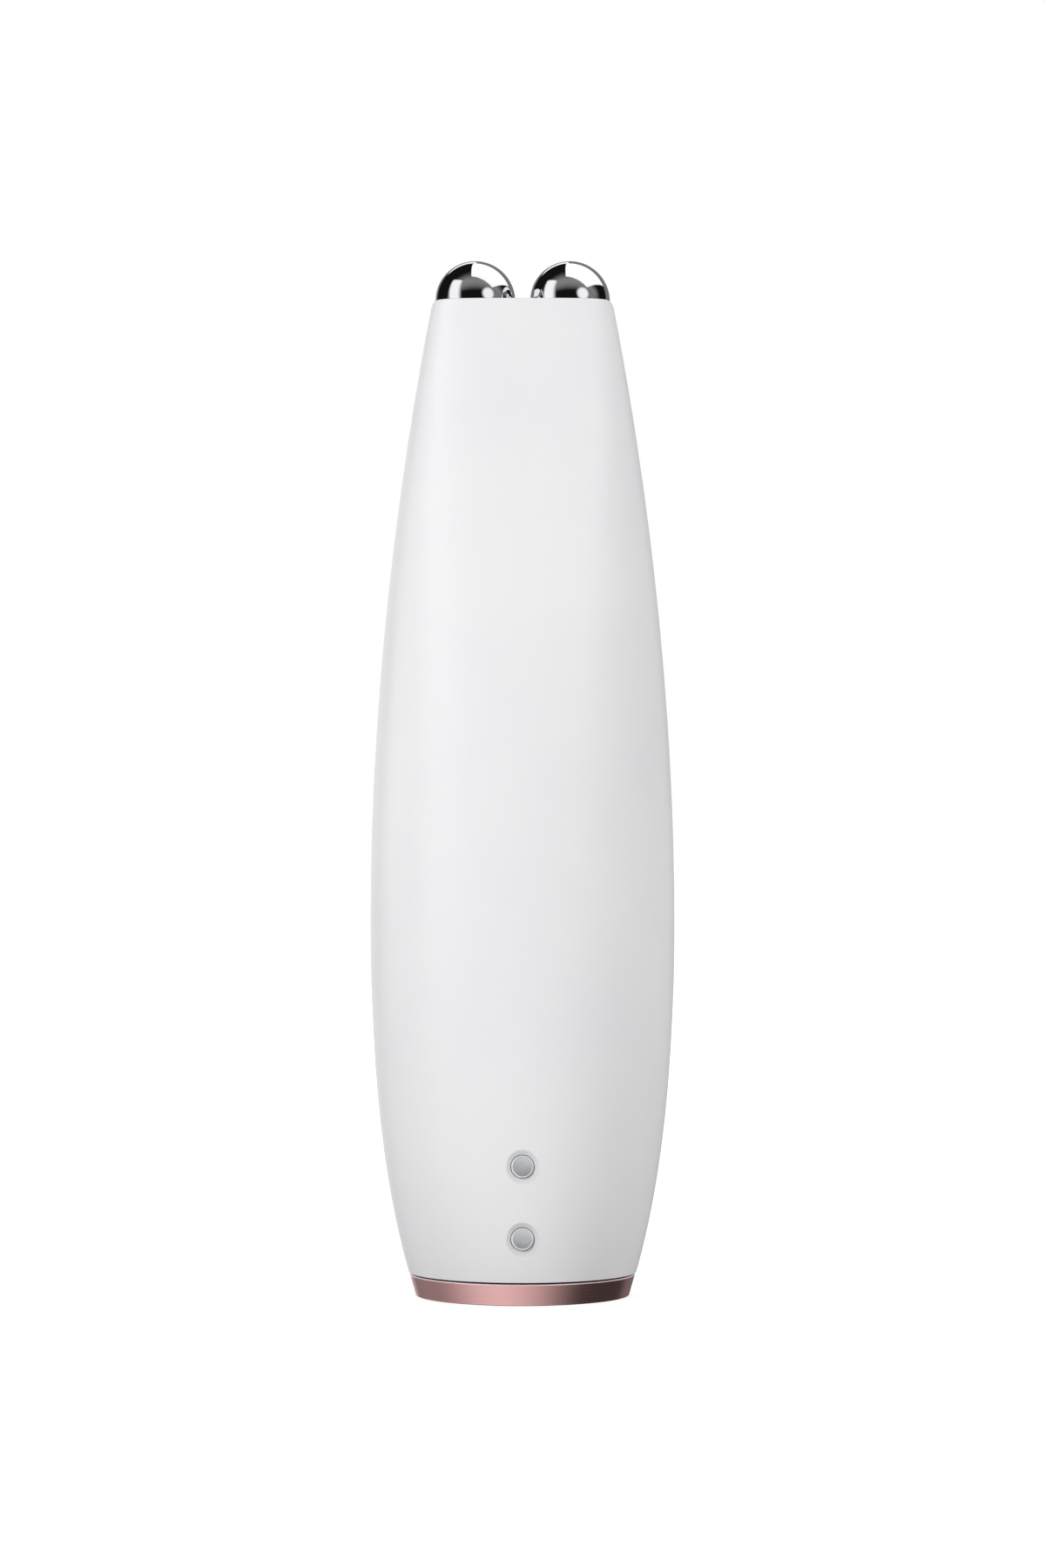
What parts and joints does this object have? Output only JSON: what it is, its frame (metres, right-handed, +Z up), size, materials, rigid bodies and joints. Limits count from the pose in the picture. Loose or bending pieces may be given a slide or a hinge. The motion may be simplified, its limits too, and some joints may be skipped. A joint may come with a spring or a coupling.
{
  "type": "facial toning device",
  "caption": "Slim hand-held facial toning device with fixed steel electrode balls in a slanted head, a push button and a metal base cap.",
  "frame": {"origin": "centre of the flat bottom of the base cap", "axes": "+Z up to the electrode balls; -Y towards the button side; +Y towards the charging contacts; +X to the right when looking along +Y"},
  "size_m": [0.0324, 0.031, 0.1101],
  "materials": {
    "white_shell": "satin white moulding",
    "bezel": "gloss white moulding",
    "steel_ball": "polished steel",
    "rose_gold": "satin rose gold anodising",
    "contact": "satin nickel plating",
    "brass": "turned",
    "seal": "moulded silicone",
    "foam": "closed-cell foam",
    "chassis": "moulded",
    "board": "solder mask",
    "chip": "moulded resin",
    "ceramic": "fired",
    "ferrite": "sintered",
    "light": "clear",
    "cell": "film sleeve",
    "steel": "drawn",
    "winding": "enamelled wire",
    "tungsten": "sintered",
    "magnet": "nickel plated",
    "red_wire": "insulation",
    "black_wire": "insulation"
  },
  "bodies": {
    "housing": {"base_cap": "rose_gold", "base_gasket": "seal", "board_screws": "steel", "button_trim_ring": "rose_gold", "capacitors": "ceramic", "cell_guard_board": "board", "cell_lead_black": "black_wire", "cell_lead_red": "red_wire", "charging_board": "board", "charging_lead_black": "black_wire", "charging_lead_red": "red_wire", "charging_magnets": "magnet", "charging_pin_lower": "contact", "charging_pin_upper": "contact", "chassis": "chassis", "controller_chip": "chip", "electrode_ball_left": "steel_ball", "electrode_ball_right": "steel_ball", "electrode_collar_left": "seal", "electrode_collar_right": "seal", "electrode_lead_left": "black_wire", "electrode_lead_right": "black_wire", "electrode_nuts": "brass", "electrode_stud_left": "brass", "electrode_stud_right": "brass", "foam_pad": "foam", "front_shell": "white_shell", "head_bezel": "bezel", "light_window": "light", "lithium_cell": "cell", "main_board": "board", "motor_boot": "seal", "motor_can": "steel", "motor_end_cap": "chassis", "motor_lead_black": "black_wire", "motor_lead_red": "red_wire", "motor_magnet": "magnet", "pin_seals": "seal", "rear_shell": "white_shell", "status_light": "light", "step_up_coil": "ferrite", "switch_body": "chip"},
    "button": {"power_button": "bezel"},
    "plunger": {"switch_plunger": "light"},
    "rotor": {"motor_shaft": "steel", "motor_coil": "winding", "eccentric_weight": "tungsten"}
  },
  "joints": [
    {"name": "button_slide", "type": "slide", "parent": "housing", "child": "button", "axis": [0, 1, 0], "range_m": [0, 0.0003], "stiffness_N_per_m": 2500, "springref_m": -0.0002},
    {"name": "plunger_slide", "type": "slide", "parent": "housing", "child": "plunger", "axis": [0, 1, 0], "range_m": [0, 0.0003]},
    {"name": "motor_spin", "type": "hinge", "parent": "housing", "child": "rotor", "pos_m": [0, -0.0021, 0.085], "axis": [0, 0, 1], "continuous": true}
  ],
  "couplings": [
    {"joint": "plunger_slide", "follows": "button_slide", "ratio": 1}
  ]
}
